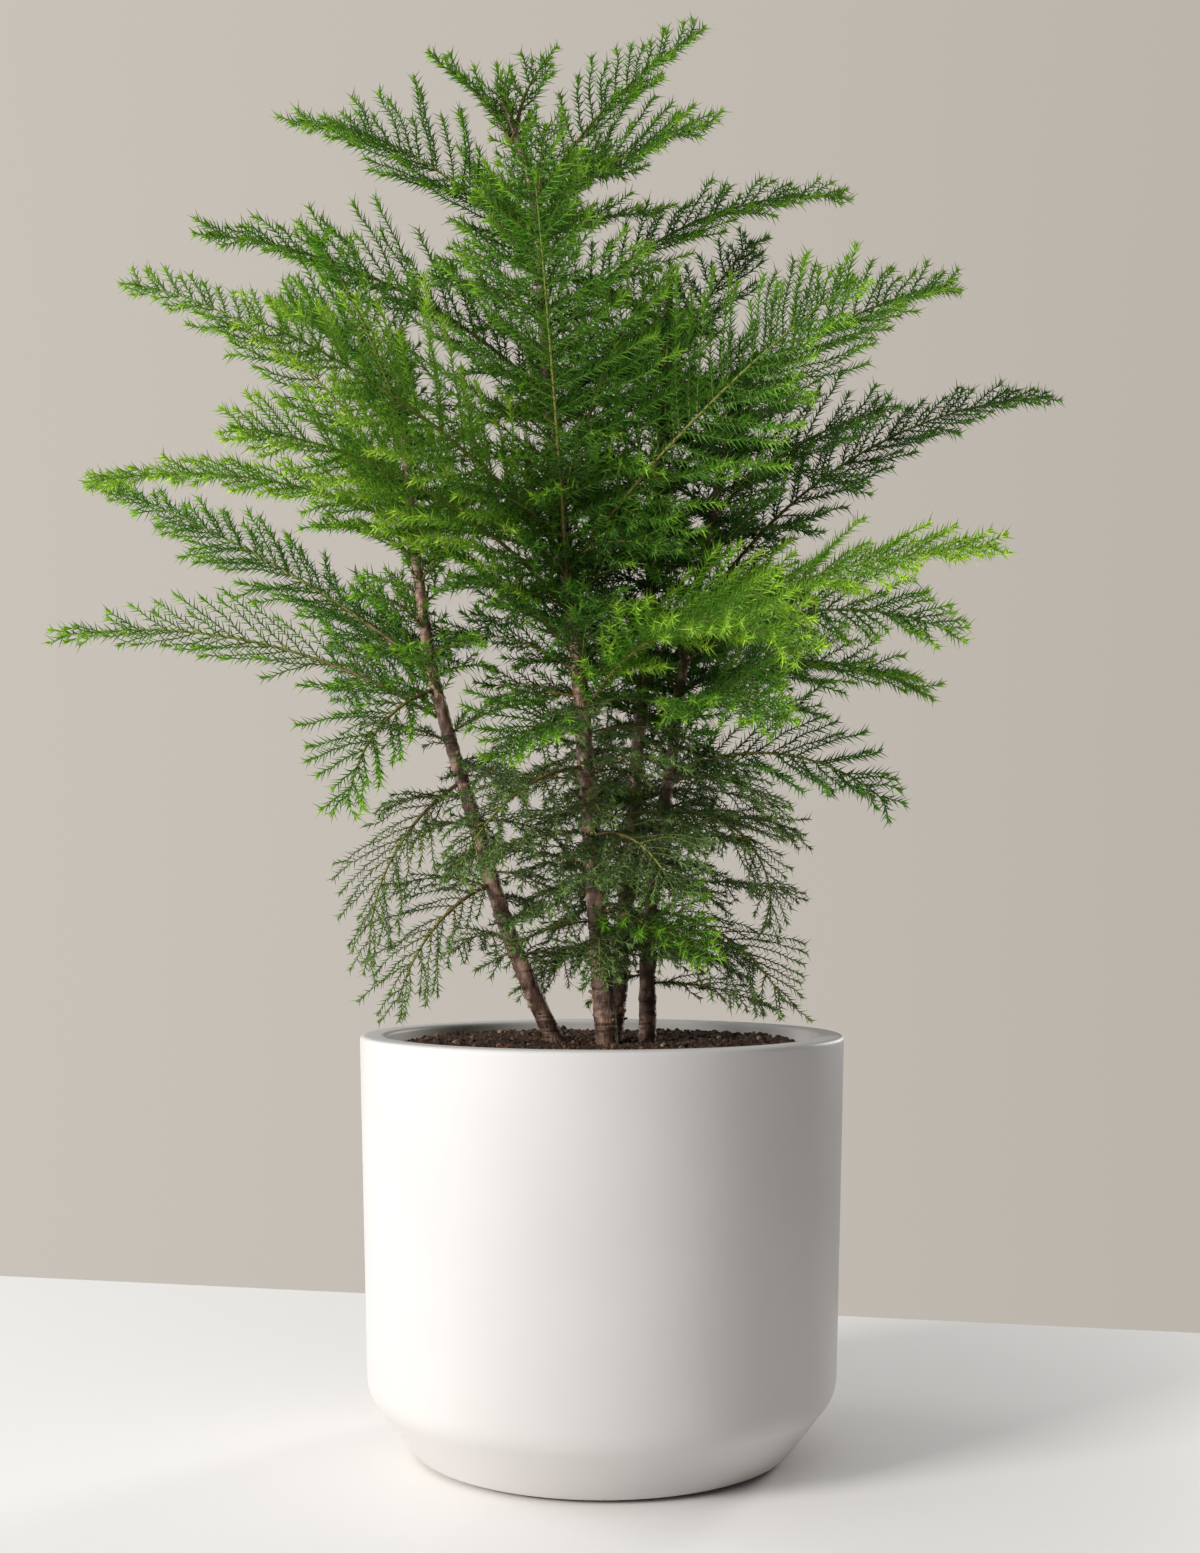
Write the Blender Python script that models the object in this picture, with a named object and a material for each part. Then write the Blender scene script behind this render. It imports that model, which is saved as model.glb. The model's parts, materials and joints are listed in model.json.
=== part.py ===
"""An artificial tabletop tree in a ceramic planter.

Four wire-cored stems stand in a weighted liner pot, which drops into the planter and is hidden by a disc of
moulded soil. Each wired frond is its own piece and bends at the point where it leaves its stem.

Metres, +Z up, origin at the middle of the face that the tree stands on, front towards -Y.
"""

import math

import bmesh
import bpy
from mathutils import Vector

# Clearances
TOUCH_GAP = 0.0003  # between pieces that rest on each other or fit together
BORE_CLEARANCE = 0.0005  # round a stem or a wire in its hole
FROND_GAP = 0.0012  # between a stem's bark and the end of a frond, so that the frond can bend

# Planter
PLANTER_HEIGHT = 0.218
RIM_RADIUS = 0.127
CREASE_RADIUS = 0.123
CREASE_HEIGHT = 0.032
BASE_RADIUS = 0.0985
WALL = 0.0135
FLOOR = 0.014
EDGE_ROUND = 0.0022
PAD_THICKNESS = 0.0015
PAD_INSET = 0.006
ROUND_STEPS = 64

# Soil disc
SOIL_RECESS = 0.011  # from the planter's rim down to the soil
SOIL_THICKNESS = 0.010
SOIL_EDGE_GAP = 0.0015

# Liner pot and what it holds
LINER_TOP_GAP = 0.0165  # all round the liner's top, inside the planter, for packing
LINER_FOOT_GAP = 0.010  # all round its foot
LINER_WALL = 0.002
LINER_LIP_WIDTH = 0.005
LINER_LIP_HEIGHT = 0.006
LINER_STEPS = 40
BALLAST_DEPTH = 0.045

# Stems
STEM_SIDES = 8
STEM_PLUG = 0.030  # how far the bark sleeve goes below the soil's surface
STEM_TIP_RADIUS = 0.0022
CORE_RADIUS = 0.0016
CORE_SIDES = 6
CORE_SHARE = 0.6  # the wire's length above the soil, as a share of the stem's
CORE_IN_BALLAST = 0.034
PATH_PIECES = 3

# Fronds
FROND_RINGS = 9
BLADE_SHARE = 0.2  # the blade's width as a share of the spray's: the soft twigs beyond it give way
BLADE_THICKNESS = 0.003
STALK_HALF_WIDTH = 0.001
STALK_HALF_THICKNESS = 0.0008

# Each stem: radius where it leaves the soil, then where it goes, as (x, y, height above the soil).
STEMS = {
    "left": (
        0.0056,
        [
            (-0.022, -0.008, 0.000),
            (-0.049, -0.012, 0.065),
            (-0.068, -0.014, 0.128),
            (-0.081, -0.012, 0.171),
            (-0.090, -0.008, 0.207),
            (-0.098, -0.002, 0.262),
            (-0.104, 0.002, 0.320),
            (-0.108, 0.004, 0.370),
        ],
    ),
    "centre": (
        0.0066,
        [
            (0.003, -0.014, 0.000),
            (-0.003, -0.014, 0.081),
            (-0.008, -0.012, 0.145),
            (-0.013, -0.010, 0.213),
            (-0.020, -0.006, 0.272),
            (-0.026, -0.002, 0.330),
            (-0.032, 0.000, 0.400),
            (-0.036, 0.002, 0.455),
            (-0.052, 0.002, 0.504),
        ],
    ),
    "rear": (
        0.0056,
        [
            (0.006, 0.022, 0.000),
            (0.014, 0.024, 0.090),
            (0.018, 0.022, 0.145),
            (0.024, 0.024, 0.215),
            (0.030, 0.024, 0.295),
            (0.034, 0.026, 0.360),
            (0.036, 0.028, 0.405),
        ],
    ),
    "right": (
        0.0052,
        [
            (0.024, 0.010, 0.000),
            (0.025, 0.012, 0.057),
            (0.030, 0.013, 0.110),
            (0.038, 0.014, 0.160),
            (0.044, 0.015, 0.210),
            (0.054, 0.016, 0.262),
            (0.066, 0.018, 0.320),
            (0.072, 0.020, 0.350),
        ],
    ),
}

# Each stem's fronds from the lowest up: the height above the soil where it leaves the stem, where its tip
# is as (x, y, height above the soil), how many degrees it bends down along its length, how wide its spray
# is, how many degrees the spray's upper side is turned to the front, and its colour.
FRONDS = {
    "left": [
        (0.088, (-0.102, -0.050, 0.031), 50, 0.055, 30, "olive"),
        (0.140, (-0.120, -0.025, 0.053), 55, 0.055, 40, "olive"),
        (0.178, (-0.286, 0.000, 0.221), 40, 0.085, 60, "mid"),
        (0.190, (-0.128, -0.045, 0.131), 60, 0.060, 40, "mid"),
        (0.205, (-0.285, 0.080, 0.319), 15, 0.080, 50, "mid"),
        (0.215, (-0.160, 0.170, 0.205), 45, 0.095, -30, "deep"),
        (0.270, (-0.140, 0.190, 0.340), 40, 0.095, -20, "deep"),
        (0.290, (-0.263, 0.060, 0.427), 50, 0.090, 50, "mid"),
        (0.325, (-0.190, 0.120, 0.430), 40, 0.085, -20, "mid"),
        (0.335, (-0.138, -0.085, 0.400), 30, 0.070, 30, "mid"),
    ],
    "centre": [
        (0.062, (0.050, -0.075, 0.052), 60, 0.050, 20, "fresh"),
        (0.115, (0.035, -0.085, 0.085), 55, 0.060, 20, "olive"),
        (0.150, (-0.070, -0.080, 0.095), 50, 0.060, 20, "olive"),
        (0.172, (-0.048, -0.075, 0.150), 50, 0.065, 20, "mid"),
        (0.182, (0.088, -0.150, 0.190), 75, 0.080, 25, "fresh"),
        (0.197, (0.187, -0.095, 0.250), 30, 0.100, 45, "fresh"),
        (0.215, (-0.262, -0.040, 0.293), 60, 0.090, 50, "fresh"),
        (0.236, (-0.178, -0.090, 0.308), 45, 0.090, 45, "fresh"),
        (0.248, (-0.032, -0.100, 0.427), 10, 0.120, 0, "mid"),
        (0.258, (0.118, -0.110, 0.372), 20, 0.110, 35, "mid"),
        (0.266, (-0.161, -0.120, 0.350), 30, 0.100, 35, "fresh"),
        (0.292, (0.024, -0.065, 0.385), 30, 0.080, 20, "mid"),
        (0.330, (0.020, 0.205, 0.415), 40, 0.095, -15, "deep"),
        (0.350, (-0.198, -0.045, 0.417), 40, 0.085, 50, "mid"),
        (0.378, (0.134, 0.060, 0.477), 50, 0.075, 45, "mid"),
        (0.415, (-0.165, 0.040, 0.511), 45, 0.080, 45, "mid"),
        (0.430, (-0.055, 0.150, 0.485), 40, 0.085, -15, "mid"),
        (0.442, (0.052, -0.025, 0.479), 35, 0.075, 40, "mid"),
        (0.455, (0.047, 0.020, 0.546), 25, 0.055, 40, "mid"),
        (0.484, (-0.084, -0.010, 0.518), 30, 0.035, 30, "mid"),
        (0.493, (-0.031, 0.015, 0.531), 25, 0.035, 30, "mid"),
    ],
    "rear": [
        (0.140, (0.030, 0.165, 0.115), 55, 0.080, -15, "olive"),
        (0.200, (0.130, 0.190, 0.225), 45, 0.095, -20, "deep"),
        (0.260, (0.000, 0.215, 0.320), 45, 0.095, -15, "deep"),
        (0.300, (0.198, 0.070, 0.431), 45, 0.090, 50, "mid"),
        (0.335, (0.110, 0.190, 0.400), 40, 0.090, -15, "deep"),
        (0.370, (0.086, 0.090, 0.461), 15, 0.055, 20, "deep"),
    ],
    "right": [
        (0.075, (0.093, -0.030, 0.030), 50, 0.060, 35, "olive"),
        (0.115, (0.106, 0.040, 0.120), 50, 0.060, 20, "olive"),
        (0.128, (0.087, -0.015, 0.068), 110, 0.040, 30, "olive"),
        (0.150, (0.145, -0.030, 0.132), 65, 0.075, 45, "deep"),
        (0.180, (0.083, -0.110, 0.163), 45, 0.075, 30, "mid"),
        (0.196, (0.174, 0.050, 0.199), 50, 0.085, 40, "mid"),
        (0.214, (0.172, -0.060, 0.215), 50, 0.085, 45, "mid"),
        (0.236, (0.258, 0.085, 0.371), 50, 0.085, 50, "deep"),
        (0.292, (0.148, 0.005, 0.341), 35, 0.070, 45, "deep"),
    ],
}

# Finishes: colour, roughness, metallic
FINISHES = {
    "ceramic": ((0.80, 0.77, 0.74), 0.55, 0.0),
    "felt": ((0.10, 0.09, 0.08), 0.95, 0.0),
    "liner": ((0.02, 0.02, 0.02), 0.45, 0.0),
    "cement": ((0.36, 0.34, 0.31), 0.90, 0.0),
    "foam": ((0.10, 0.17, 0.08), 0.90, 0.0),
    "soil": ((0.045, 0.028, 0.018), 0.95, 0.0),
    "bark": ((0.27, 0.14, 0.09), 0.60, 0.0),
    "wire": ((0.55, 0.55, 0.56), 0.30, 1.0),
    "fresh": ((0.16, 0.36, 0.03), 0.50, 0.0),
    "mid": ((0.05, 0.19, 0.02), 0.50, 0.0),
    "deep": ((0.015, 0.07, 0.012), 0.50, 0.0),
    "olive": ((0.07, 0.12, 0.03), 0.55, 0.0),
}

# Sizes that follow from the ones above
PLANTER_BOTTOM = PAD_THICKNESS + TOUCH_GAP
LINER_BOTTOM = PLANTER_BOTTOM + FLOOR + TOUCH_GAP
SOIL_TOP = PLANTER_HEIGHT - SOIL_RECESS
SOIL_BOTTOM = SOIL_TOP - SOIL_THICKNESS
LINER_TOP = SOIL_BOTTOM - TOUCH_GAP
BALLAST_BOTTOM = LINER_BOTTOM + LINER_WALL + TOUCH_GAP
BALLAST_TOP = BALLAST_BOTTOM + BALLAST_DEPTH
FOAM_BOTTOM = BALLAST_TOP + TOUCH_GAP
PLANTER_FLOOR_RADIUS = BASE_RADIUS - WALL / 2


def clear_scene():
    for thing in list(bpy.data.objects):
        bpy.data.objects.remove(thing, do_unlink=True)


def finish(name):
    """The material of one finish, made the first time it is asked for."""
    material = bpy.data.materials.get(name) or bpy.data.materials.new(name)
    colour, roughness, metallic = FINISHES[name]
    material.use_nodes = True
    shader = material.node_tree.nodes["Principled BSDF"]
    shader.inputs["Base Color"].default_value = (*colour, 1)
    shader.inputs["Roughness"].default_value = roughness
    shader.inputs["Metallic"].default_value = metallic
    return material


def stand(name, parent=None):
    """An empty that groups pieces which come out together."""
    empty = bpy.data.objects.new(name, None)
    bpy.context.collection.objects.link(empty)
    empty.parent = parent
    return empty


def add_piece(name, shape, finish_name, parent, place=(0, 0, 0), sharp_degrees=35):
    """A named object made from a bmesh, with its own copy of a finish."""
    bmesh.ops.recalc_face_normals(shape, faces=shape.faces)
    mesh = bpy.data.meshes.new(name)
    shape.to_mesh(mesh)
    shape.free()
    mesh.shade_smooth()
    mesh.set_sharp_from_angle(angle=math.radians(sharp_degrees))
    material = finish(finish_name).copy()
    material.name = name
    mesh.materials.append(material)
    piece = bpy.data.objects.new(name, mesh)
    bpy.context.collection.objects.link(piece)
    piece.parent = parent
    piece.location = place
    return piece


def turned(outline, steps):
    """A bmesh turned about Z from an outline of (radius, height) points whose ends are on the axis."""
    shape = bmesh.new()
    points = [shape.verts.new((radius, 0, height)) for radius, height in outline]
    edges = [shape.edges.new(pair) for pair in zip(points, points[1:])]
    bmesh.ops.spin(
        shape,
        geom=points + edges,
        cent=(0, 0, 0),
        axis=(0, 0, 1),
        angle=math.tau,
        steps=steps,
        use_merge=True,
    )
    bmesh.ops.remove_doubles(shape, verts=shape.verts, dist=0.00001)
    return shape


def lofted(rings):
    """A bmesh that joins rings of equally many points, with both ends filled."""
    shape = bmesh.new()
    made = [[shape.verts.new(point) for point in ring] for ring in rings]
    for lower, upper in zip(made, made[1:]):
        for i in range(len(lower)):
            j = (i + 1) % len(lower)
            shape.faces.new((lower[i], lower[j], upper[j], upper[i]))
    shape.faces.new(made[0])
    shape.faces.new(made[-1])
    return shape


def round_edges(piece, width):
    bevel = piece.modifiers.new("rounded_edges", "BEVEL")
    bevel.width = width
    bevel.segments = 2
    bevel.limit_method = "ANGLE"
    bevel.angle_limit = math.radians(25)
    return bevel


def cut(piece, cutter):
    """Cut one hole. The cutter is only a guide, so it is neither rendered nor kept."""
    cutter.hide_render = True
    cutter.display_type = "WIRE"
    hole = piece.modifiers.new(cutter.name, "BOOLEAN")
    hole.operation = "DIFFERENCE"
    hole.object = cutter
    return hole


# ---- Planter ----


def planter(parent):
    top = PLANTER_HEIGHT - PLANTER_BOTTOM
    outline = [
        (0, 0),
        (BASE_RADIUS, 0),
        (CREASE_RADIUS, CREASE_HEIGHT),
        (RIM_RADIUS, top),
        (RIM_RADIUS - WALL, top),
        (CREASE_RADIUS - WALL, CREASE_HEIGHT),
        (PLANTER_FLOOR_RADIUS, FLOOR),
        (0, FLOOR),
    ]
    shape = turned(outline, ROUND_STEPS)
    piece = add_piece("planter", shape, "ceramic", parent, (0, 0, PLANTER_BOTTOM))
    round_edges(piece, EDGE_ROUND)
    return piece


def felt_pad(parent):
    radius = BASE_RADIUS - PAD_INSET
    outline = [(0, 0), (radius, 0), (radius, PAD_THICKNESS), (0, PAD_THICKNESS)]
    return add_piece("felt_pad", turned(outline, ROUND_STEPS), "felt", parent)


# ---- Liner pot, ballast, foam and soil ----


def planter_inner_radius(height):
    """The radius inside the planter at a height above its crease."""
    share = (height - PLANTER_BOTTOM - CREASE_HEIGHT) / (PLANTER_HEIGHT - PLANTER_BOTTOM - CREASE_HEIGHT)
    return CREASE_RADIUS + share * (RIM_RADIUS - CREASE_RADIUS) - WALL


def liner_radius(height):
    """The liner's outer radius at a height."""
    foot = PLANTER_FLOOR_RADIUS - LINER_FOOT_GAP
    top = planter_inner_radius(LINER_TOP) - LINER_TOP_GAP
    share = (height - LINER_BOTTOM) / (LINER_TOP - LINER_BOTTOM)
    return foot + share * (top - foot)


def liner_pot(parent):
    lip_bottom = LINER_TOP - LINER_LIP_HEIGHT
    inside = LINER_BOTTOM + LINER_WALL
    outline = [
        (0, LINER_BOTTOM),
        (liner_radius(LINER_BOTTOM), LINER_BOTTOM),
        (liner_radius(lip_bottom), lip_bottom),
        (liner_radius(LINER_TOP) + LINER_LIP_WIDTH, lip_bottom),
        (liner_radius(LINER_TOP) + LINER_LIP_WIDTH, LINER_TOP),
        (liner_radius(LINER_TOP) - LINER_WALL, LINER_TOP),
        (liner_radius(inside) - LINER_WALL, inside),
        (0, inside),
    ]
    return add_piece("liner_pot", turned(outline, LINER_STEPS), "liner", parent)


def filling(name, bottom, top, finish_name, parent):
    """A plug that fills the liner pot from one height to another."""
    inset = LINER_WALL + TOUCH_GAP
    outline = [
        (0, bottom),
        (liner_radius(bottom) - inset, bottom),
        (liner_radius(top) - inset, top),
        (0, top),
    ]
    return add_piece(name, turned(outline, LINER_STEPS), finish_name, parent)


def soil_disc(parent):
    lower = planter_inner_radius(SOIL_BOTTOM) - SOIL_EDGE_GAP
    upper = planter_inner_radius(SOIL_TOP) - SOIL_EDGE_GAP
    outline = [(0, SOIL_BOTTOM), (lower, SOIL_BOTTOM), (upper, SOIL_TOP), (0, SOIL_TOP)]
    return add_piece("soil_disc", turned(outline, ROUND_STEPS), "soil", parent)


# ---- Stems ----


def smooth_path(points, pieces):
    """Points along a smooth curve through the given ones, with so many pieces to each stretch."""
    ends = [2 * points[0] - points[1], *points, 2 * points[-1] - points[-2]]
    path = []
    for before, start, finish_point, after in zip(ends, ends[1:], ends[2:], ends[3:]):
        for i in range(pieces):
            t = i / pieces
            linear = (finish_point - before) * t
            square = (2 * before - 5 * start + 4 * finish_point - after) * t**2
            cube = (3 * start - before - 3 * finish_point + after) * t**3
            path.append((2 * start + linear + square + cube) / 2)
    path.append(points[-1].copy())
    return path


def stem_path(stem):
    """A stem's middle line in the object's own coordinates, with a straight root down to the ballast."""
    above = [Vector((x, y, SOIL_TOP + height)) for x, y, height in STEMS[stem][1]]
    root = above[0].copy()
    root.z = BALLAST_BOTTOM
    return [root, *smooth_path(above, PATH_PIECES)]


def at_height(path, height):
    """The point of a rising path at a height, and the path's direction there."""
    for lower, upper in zip(path, path[1:]):
        if height <= upper.z:
            break
    share = (height - lower.z) / (upper.z - lower.z)
    return lower.lerp(upper, share), (upper - lower).normalized()


def stretch(path, low, high):
    """The part of a rising path between two heights."""
    between = [point for point in path if low < point.z < high]
    return [at_height(path, low)[0], *between, at_height(path, high)[0]]


def ring(middle, along, radius, sides):
    """Points round a middle, in the plane square to a direction that is never along Y."""
    across = Vector((0, 1, 0)).cross(along).normalized()
    deep = along.cross(across)
    turns = [math.tau * i / sides for i in range(sides)]
    return [middle + radius * (math.cos(a) * across + math.sin(a) * deep) for a in turns]


def rings_along(path, radii, sides):
    made = []
    for i, (middle, radius) in enumerate(zip(path, radii)):
        before = path[max(i - 1, 0)]
        after = path[min(i + 1, len(path) - 1)]
        made.append(ring(middle, (after - before).normalized(), radius, sides))
    return made


def stem_radius(stem, height):
    """The bark's radius, which is even below the soil and tapers to the tip above it."""
    base_radius, points = STEMS[stem]
    share = max(height - SOIL_TOP, 0) / points[-1][2]
    return base_radius + share * (STEM_TIP_RADIUS - base_radius)


def core_top(stem):
    return SOIL_TOP + CORE_SHARE * STEMS[stem][1][-1][2]


def bark_sleeve(stem, parent):
    """The moulded bark, with a blind bore from below for the stem's wire."""
    path = stem_path(stem)
    bottom = SOIL_TOP - STEM_PLUG
    outside = stretch(path, bottom, path[-1].z)
    bore = stretch(path, bottom, core_top(stem) + BORE_CLEARANCE)
    bore_rings = rings_along(bore, [CORE_RADIUS + BORE_CLEARANCE] * len(bore), STEM_SIDES)
    outer_rings = rings_along(outside, [stem_radius(stem, p.z) for p in outside], STEM_SIDES)
    shape = lofted(bore_rings[::-1] + outer_rings)
    return add_piece("stem_" + stem, shape, "bark", parent, sharp_degrees=80)


def wire_core(stem, parent):
    path = stretch(stem_path(stem), BALLAST_TOP - CORE_IN_BALLAST, core_top(stem))
    shape = lofted(rings_along(path, [CORE_RADIUS] * len(path), CORE_SIDES))
    return add_piece("wire_" + stem, shape, "wire", parent, sharp_degrees=80)


def bore_cutter(name, stem, low, high, radius):
    path = stretch(stem_path(stem), low, high)
    shape = lofted(rings_along(path, [radius] * len(path), STEM_SIDES))
    return add_piece(name, shape, "bark", None)


def bore_for_stems(soil, foam, ballast):
    """Holes through the soil and the foam for the bark, and down into the ballast for the wire."""
    bark_end = SOIL_TOP - STEM_PLUG - BORE_CLEARANCE
    wire_end = BALLAST_TOP - CORE_IN_BALLAST - TOUCH_GAP
    for stem, (base_radius, _) in STEMS.items():
        wide = base_radius + BORE_CLEARANCE
        narrow = CORE_RADIUS + BORE_CLEARANCE
        bark_hole = bore_cutter("cut_bark_" + stem, stem, bark_end, SOIL_TOP + 0.01, wide)
        wire_hole = bore_cutter("cut_wire_" + stem, stem, wire_end, bark_end + 0.01, narrow)
        cut(soil, bark_hole)
        cut(foam, bark_hole)
        cut(foam, wire_hole)
        cut(ballast, wire_hole)


# ---- Fronds ----


def frond_base(stem, height, tip):
    """Where a frond leaves its stem: just clear of the bark, on the side that faces the frond's tip."""
    middle, along = at_height(stem_path(stem), SOIL_TOP + height)
    outward = Vector((tip.x - middle.x, tip.y - middle.y, 0)).normalized()
    reach = stem_radius(stem, middle.z) / math.sqrt(1 - outward.dot(along) ** 2)
    return middle + outward * (reach + FROND_GAP)


def bowed(base, tip, droop_degrees):
    """Points from base to tip on an arc that bends down by an angle, each with the arc's direction there."""
    half = math.radians(droop_degrees) / 2
    chord = tip - base
    forward = chord.normalized()
    sideways = Vector((0, 0, 1)).cross(forward).normalized()
    upward = forward.cross(sideways)
    radius = chord.length / (2 * math.sin(half))
    line = []
    for i in range(FROND_RINGS):
        turn = half * (2 * i / (FROND_RINGS - 1) - 1)
        along = radius * (math.sin(turn) + math.sin(half))
        rise = radius * (math.cos(turn) - math.cos(half))
        direction = forward * math.cos(turn) - upward * math.sin(turn)
        line.append((base + forward * along + upward * rise, direction))
    return line


def blade_share(t):
    """How wide the blade is at a share of its length: a bare stalk, then a long taper to the tip."""
    grown = min(t / 0.35, 1)
    tapered = 1 - 0.75 * max(t - 0.35, 0) / 0.65
    return grown * tapered


def frond(name, stem, row, parent):
    """One wired frond, with its origin on the point where it bends."""
    height, reaches, droop, spread, tilt_degrees, colour = row
    tip = Vector(reaches) + Vector((0, 0, SOIL_TOP))
    base = frond_base(stem, height, tip)
    line = bowed(base, tip, droop)
    across = Vector((0, 0, 1)).cross(tip - base).normalized()
    tilt = math.radians(tilt_degrees) * math.copysign(1, -across.y)
    widest = spread * BLADE_SHARE / 2
    rings = []
    for i, (middle, direction) in enumerate(line):
        share = blade_share(i / (FROND_RINGS - 1))
        upper = direction.cross(across)
        side = across * math.cos(tilt) - upper * math.sin(tilt)
        normal = direction.cross(side)
        half_width = STALK_HALF_WIDTH + share * (widest - STALK_HALF_WIDTH)
        half_thickness = STALK_HALF_THICKNESS + share * (BLADE_THICKNESS / 2 - STALK_HALF_THICKNESS)
        middle = middle - base
        rings.append(
            [
                middle + side * half_width,
                middle + normal * half_thickness,
                middle - side * half_width,
                middle - normal * half_thickness,
            ]
        )
    return add_piece(name, lofted(rings), colour, parent, base, sharp_degrees=80)


def frond_name(stem, number):
    return f"frond_{stem}_{number:02d}"


def build():
    clear_scene()
    tree = stand("tabletop_tree")
    insert = stand("insert", tree)
    planter(tree)
    felt_pad(tree)
    liner_pot(insert)
    ballast = filling("ballast", BALLAST_BOTTOM, BALLAST_TOP, "cement", insert)
    foam = filling("foam_block", FOAM_BOTTOM, LINER_TOP, "foam", insert)
    soil = soil_disc(insert)
    bore_for_stems(soil, foam, ballast)
    for stem in STEMS:
        sleeve = bark_sleeve(stem, insert)
        wire_core(stem, insert)
        for number, row in enumerate(FRONDS[stem], 1):
            frond(frond_name(stem, number), stem, row, sleeve)


build()
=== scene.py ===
# %% [markdown]
# # An artificial tabletop tree in a ceramic planter
#
# The tree is an assembly: a ceramic planter, and an insert that lifts out of it with the soil, four stems
# and 46 wired sprays of needles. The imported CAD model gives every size, place and joint. This
# lesson adds the surfaces: thousands of needles, bark, crumbs of soil and a glazed pot.

# %% Load the frame
import json
import math
import random

import bmesh
import bpy
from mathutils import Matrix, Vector


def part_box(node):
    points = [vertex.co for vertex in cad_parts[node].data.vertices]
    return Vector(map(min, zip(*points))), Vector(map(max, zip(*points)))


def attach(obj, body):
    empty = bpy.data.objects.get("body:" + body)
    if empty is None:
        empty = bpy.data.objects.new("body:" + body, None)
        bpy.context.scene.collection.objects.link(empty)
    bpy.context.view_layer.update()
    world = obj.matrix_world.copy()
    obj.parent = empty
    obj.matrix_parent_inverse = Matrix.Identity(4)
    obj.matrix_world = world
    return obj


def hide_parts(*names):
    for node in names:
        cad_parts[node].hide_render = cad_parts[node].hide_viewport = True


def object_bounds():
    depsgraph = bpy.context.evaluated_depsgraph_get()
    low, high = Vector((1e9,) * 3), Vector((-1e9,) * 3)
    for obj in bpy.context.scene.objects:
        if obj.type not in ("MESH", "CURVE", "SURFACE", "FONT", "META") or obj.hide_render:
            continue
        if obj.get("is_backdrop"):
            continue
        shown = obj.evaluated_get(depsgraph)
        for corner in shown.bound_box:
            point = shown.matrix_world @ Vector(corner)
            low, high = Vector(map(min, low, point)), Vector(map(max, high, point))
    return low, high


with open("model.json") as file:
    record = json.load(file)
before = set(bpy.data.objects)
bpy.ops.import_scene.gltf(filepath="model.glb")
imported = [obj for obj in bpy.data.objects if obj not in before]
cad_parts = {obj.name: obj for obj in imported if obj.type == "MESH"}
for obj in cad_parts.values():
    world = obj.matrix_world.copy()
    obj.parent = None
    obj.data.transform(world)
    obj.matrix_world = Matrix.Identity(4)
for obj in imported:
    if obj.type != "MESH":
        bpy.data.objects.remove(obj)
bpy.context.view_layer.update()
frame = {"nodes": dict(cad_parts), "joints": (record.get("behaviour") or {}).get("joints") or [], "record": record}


def new_object(name, data):
    made = bpy.data.objects.new(name, data)
    bpy.context.scene.collection.objects.link(made)
    return made


def as_mesh(shape, name):
    """A mesh from a bmesh, which is then let go."""
    mesh = bpy.data.meshes.new(name)
    shape.to_mesh(mesh)
    shape.free()
    return mesh


HINGES = {j["child"]: Vector(j["pos_m"]) for j in frame["joints"] if j["type"] == "hinge"}
SLOTS = {part["node"]: part["material_slot"] for part in frame["record"]["subparts"]}

# %% [markdown]
# ## Camera
#
# A level camera keeps the planter's sides upright. It stands a little above the rim, and the picture is
# shifted up instead of tilting the camera, as is done for tall buildings.

# %% Camera
CAMERA_PLACE = (-0.001, -0.974, 0.284)
LENS = 42.7
SHIFT_UP = 0.0847


def add_camera():
    camera = new_object("camera", bpy.data.cameras.new("camera"))
    camera.location = CAMERA_PLACE
    camera.rotation_euler = (math.radians(90), 0, 0)
    camera.data.lens = LENS
    camera.data.shift_y = SHIFT_UP
    bpy.context.scene.camera = camera
    return camera


print("camera at", tuple(round(c, 3) for c in add_camera().location))

# %% [markdown]
# ## Wires
#
# Every pattern here is a graph of nodes. Writing the maths as Python expressions keeps it readable, so one
# small class wraps a socket: arithmetic on it adds Math or Vector Math nodes, and its node method adds any
# other node. The same class serves the materials and the Geometry Nodes trees.

# %% A class for sockets
WIDE = ("VECTOR", "RGBA")


class Wire:
    """A node's output, or an empty start in a tree. Arithmetic on it adds nodes."""

    def __init__(self, tree, socket=None):
        self.tree = tree
        self.socket = socket

    def __getitem__(self, name):
        return Wire(self.tree, self.socket.node.outputs[name])

    def node(self, kind, settings=None, sockets=None):
        """Adds a node: its settings, then its sockets' values or links. Gives its first live output."""
        made = self.tree.nodes.new(kind)
        for key, value in (settings or {}).items():
            if key == "stops":
                set_stops(made.color_ramp, value)
            else:
                setattr(made, key, value)
        for key, value in (sockets or {}).items():
            feed(value, made.inputs[key])
        live = [output for output in made.outputs if output.enabled]
        return Wire(self.tree, live[0])

    def __add__(self, other):
        return calculate("ADD", self, other)

    def __radd__(self, other):
        return calculate("ADD", other, self)

    def __sub__(self, other):
        return calculate("SUBTRACT", self, other)

    def __rsub__(self, other):
        return calculate("SUBTRACT", other, self)

    def __mul__(self, other):
        return calculate("MULTIPLY", self, other)

    def __rmul__(self, other):
        return calculate("MULTIPLY", other, self)

    def __pow__(self, other):
        return calculate("POWER", self, other)

    def __gt__(self, other):
        return calculate("GREATER_THAN", self, other)


def feed(value, entry):
    """Links a wire to a node's input, or sets the input's value."""
    if isinstance(value, Wire):
        value.tree.links.new(value.socket, entry)
    else:
        entry.default_value = value


def is_wide(value):
    return isinstance(value, tuple) or (isinstance(value, Wire) and value.socket.type in WIDE)


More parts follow.
